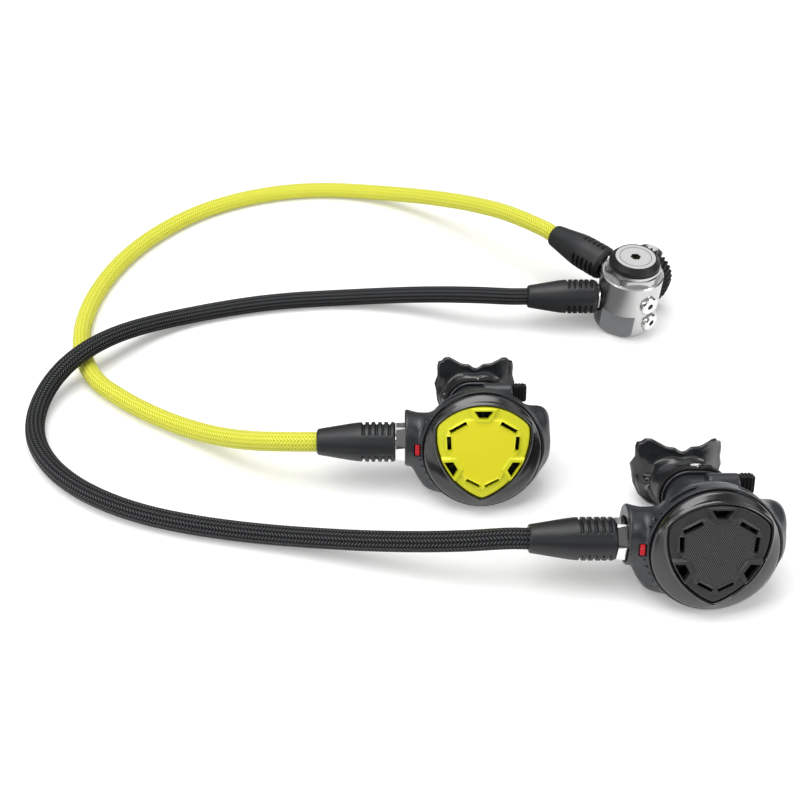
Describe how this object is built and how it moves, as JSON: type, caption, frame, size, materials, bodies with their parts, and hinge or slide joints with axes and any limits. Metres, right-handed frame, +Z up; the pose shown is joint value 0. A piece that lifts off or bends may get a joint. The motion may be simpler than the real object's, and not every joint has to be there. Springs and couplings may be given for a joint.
{
  "type": "scuba regulator set",
  "caption": "Two-stage diving regulator set with a DIN first stage, a primary second stage, a yellow-faced octopus and two braided low-pressure hoses.",
  "frame": {"origin": "centre of the flat bottom face of the first stage, on the surface that the set lies on", "axes": "+Z up along the first stage's axis; -X towards the far bend of the hoses; -Y towards the second stages, whose faces look to -Y and up by 28 degrees"},
  "size_m": [0.4326, 0.3989, 0.0623],
  "materials": {
    "satin_chrome": "satin chrome-plated brass",
    "bright_chrome": "polished chrome plating",
    "black_rubber": "satin black rubber",
    "charcoal_rubber": "satin charcoal rubber",
    "silicone_black": "matte black silicone",
    "braid_black": "black braided cover with grey threads",
    "braid_yellow": "fluorescent yellow braided cover",
    "black_gloss": "glossy black plastic",
    "black_matte": "matte black plastic",
    "case_slate": "satin slate-grey plastic",
    "button_grey": "satin grey plastic",
    "button_yellow": "satin lime-yellow plastic",
    "tab_red": "red plastic",
    "spring_steel": "spring steel wire",
    "steel": "machined stainless steel",
    "brass": "machined brass",
    "bronze_filter": "sintered bronze",
    "valve_plastic": "grey engineering plastic"
  },
  "bodies": {
    "first_stage": {"first_stage_body": "satin_chrome", "spring_carrier": "satin_chrome", "cap_ring": "black_rubber", "cap_disc": "bright_chrome", "adjuster_screw": "bright_chrome", "main_spring": "spring_steel", "first_stage_diaphragm": "black_rubber", "orifice_insert": "steel", "valve_spring": "spring_steel", "lp_port_plug": "bright_chrome", "gauge_port_plug": "bright_chrome", "din_retainer": "bright_chrome", "din_oring": "black_rubber", "din_filter": "bronze_filter", "primary_hose": "braid_black", "primary_first_stage_boot": "charcoal_rubber", "primary_fitting": "bright_chrome", "primary_second_stage_boot": "charcoal_rubber", "primary_swivel_nut": "bright_chrome", "primary_hose_stem": "bright_chrome", "octopus_hose": "braid_yellow", "octopus_first_stage_boot": "charcoal_rubber", "octopus_fitting": "bright_chrome", "octopus_second_stage_boot": "charcoal_rubber", "octopus_swivel_nut": "bright_chrome", "octopus_hose_stem": "bright_chrome"},
    "din_wheel": {"din_hand_wheel": "black_rubber", "din_thread_sleeve": "bright_chrome"},
    "first_stage_valve": {"spring_pad": "brass", "valve_lifter": "brass", "tank_side_valve": "steel"},
    "primary_second_stage": {"primary_case": "case_slate", "primary_cover_ring": "black_gloss", "primary_purge_spring": "spring_steel", "primary_diaphragm": "silicone_black", "primary_valve_barrel": "bright_chrome", "primary_poppet_spring": "spring_steel", "primary_mouthpiece": "silicone_black", "primary_clamp": "black_matte", "primary_exhaust_valve": "silicone_black"},
    "primary_purge": {"primary_purge_button": "button_grey"},
    "primary_demand_lever": {"primary_lever": "steel"},
    "primary_demand_poppet": {"primary_poppet": "valve_plastic"},
    "primary_venturi": {"primary_venturi_lever": "black_matte"},
    "primary_lock": {"primary_lock_tab": "tab_red"},
    "octopus_second_stage": {"octopus_case": "case_slate", "octopus_cover_ring": "black_gloss", "octopus_purge_spring": "spring_steel", "octopus_diaphragm": "silicone_black", "octopus_valve_barrel": "bright_chrome", "octopus_poppet_spring": "spring_steel", "octopus_mouthpiece": "silicone_black", "octopus_clamp": "black_matte", "octopus_exhaust_valve": "silicone_black"},
    "octopus_purge": {"octopus_purge_button": "button_yellow"},
    "octopus_demand_lever": {"octopus_lever": "steel"},
    "octopus_demand_poppet": {"octopus_poppet": "valve_plastic"},
    "octopus_venturi": {"octopus_venturi_lever": "black_matte"},
    "octopus_lock": {"octopus_lock_tab": "tab_red"}
  },
  "joints": [
    {"name": "din_wheel_spin", "type": "hinge", "parent": "first_stage", "child": "din_wheel", "pos_m": [0, 0, 0.022], "axis": [0.454, 0.891, 0], "continuous": true},
    {"name": "first_stage_valve_slide", "type": "slide", "parent": "first_stage", "child": "first_stage_valve", "axis": [0, 0, 1], "range_m": [0, 0.00075], "stiffness_N_per_m": 4000, "springref_m": -0.001, "deforming": ["main_spring", "valve_spring", "first_stage_diaphragm"]},
    {"name": "primary_swivel", "type": "hinge", "parent": "first_stage", "child": "primary_second_stage", "pos_m": [-0.0415, -0.20672, 0.02708], "axis": [1, 0, 0], "continuous": true},
    {"name": "primary_purge_press", "type": "slide", "parent": "primary_second_stage", "child": "primary_purge", "axis": [0, 0.8829, -0.4695], "range_m": [0, 0.003], "stiffness_N_per_m": 1500, "springref_m": -0.0015, "deforming": ["primary_purge_spring", "primary_diaphragm"]},
    {"name": "primary_lever_tilt", "type": "hinge", "parent": "primary_second_stage", "child": "primary_demand_lever", "pos_m": [0.021, -0.21361, 0.03074], "axis": [0, -0.4695, -0.8829], "range_deg": [0, 12.6]},
    {"name": "primary_poppet_slide", "type": "slide", "parent": "primary_second_stage", "child": "primary_demand_poppet", "axis": [1, 0, 0], "range_m": [0, 0.001], "deforming": ["primary_poppet_spring"]},
    {"name": "primary_venturi_turn", "type": "hinge", "parent": "primary_second_stage", "child": "primary_venturi", "pos_m": [0.027, -0.18177, 0.04099], "axis": [1, 0, 0], "range_deg": [-30, 30]},
    {"name": "primary_lock_press", "type": "slide", "parent": "primary_second_stage", "child": "primary_lock", "axis": [0, 0.8829, -0.4695], "range_m": [0, 0.001], "stiffness_N_per_m": 500, "springref_m": -0.001},
    {"name": "octopus_swivel", "type": "hinge", "parent": "first_stage", "child": "octopus_second_stage", "pos_m": [-0.1565, -0.13772, 0.02708], "axis": [1, 0, 0], "continuous": true},
    {"name": "octopus_purge_press", "type": "slide", "parent": "octopus_second_stage", "child": "octopus_purge", "axis": [0, 0.8829, -0.4695], "range_m": [0, 0.003], "stiffness_N_per_m": 1500, "springref_m": -0.0015, "deforming": ["octopus_purge_spring", "octopus_diaphragm"]},
    {"name": "octopus_lever_tilt", "type": "hinge", "parent": "octopus_second_stage", "child": "octopus_demand_lever", "pos_m": [-0.094, -0.14461, 0.03074], "axis": [0, -0.4695, -0.8829], "range_deg": [0, 12.6]},
    {"name": "octopus_poppet_slide", "type": "slide", "parent": "octopus_second_stage", "child": "octopus_demand_poppet", "axis": [1, 0, 0], "range_m": [0, 0.001], "deforming": ["octopus_poppet_spring"]},
    {"name": "octopus_venturi_turn", "type": "hinge", "parent": "octopus_second_stage", "child": "octopus_venturi", "pos_m": [-0.088, -0.11277, 0.04099], "axis": [1, 0, 0], "range_deg": [-30, 30]},
    {"name": "octopus_lock_press", "type": "slide", "parent": "octopus_second_stage", "child": "octopus_lock", "axis": [0, 0.8829, -0.4695], "range_m": [0, 0.001], "stiffness_N_per_m": 500, "springref_m": -0.001}
  ],
  "couplings": [
    {"joint": "primary_lever_tilt", "follows": "primary_purge_press", "rad_per_m": 72.7},
    {"joint": "primary_poppet_slide", "follows": "primary_purge_press", "ratio": 0.333},
    {"joint": "octopus_lever_tilt", "follows": "octopus_purge_press", "rad_per_m": 72.7},
    {"joint": "octopus_poppet_slide", "follows": "octopus_purge_press", "ratio": 0.333}
  ]
}
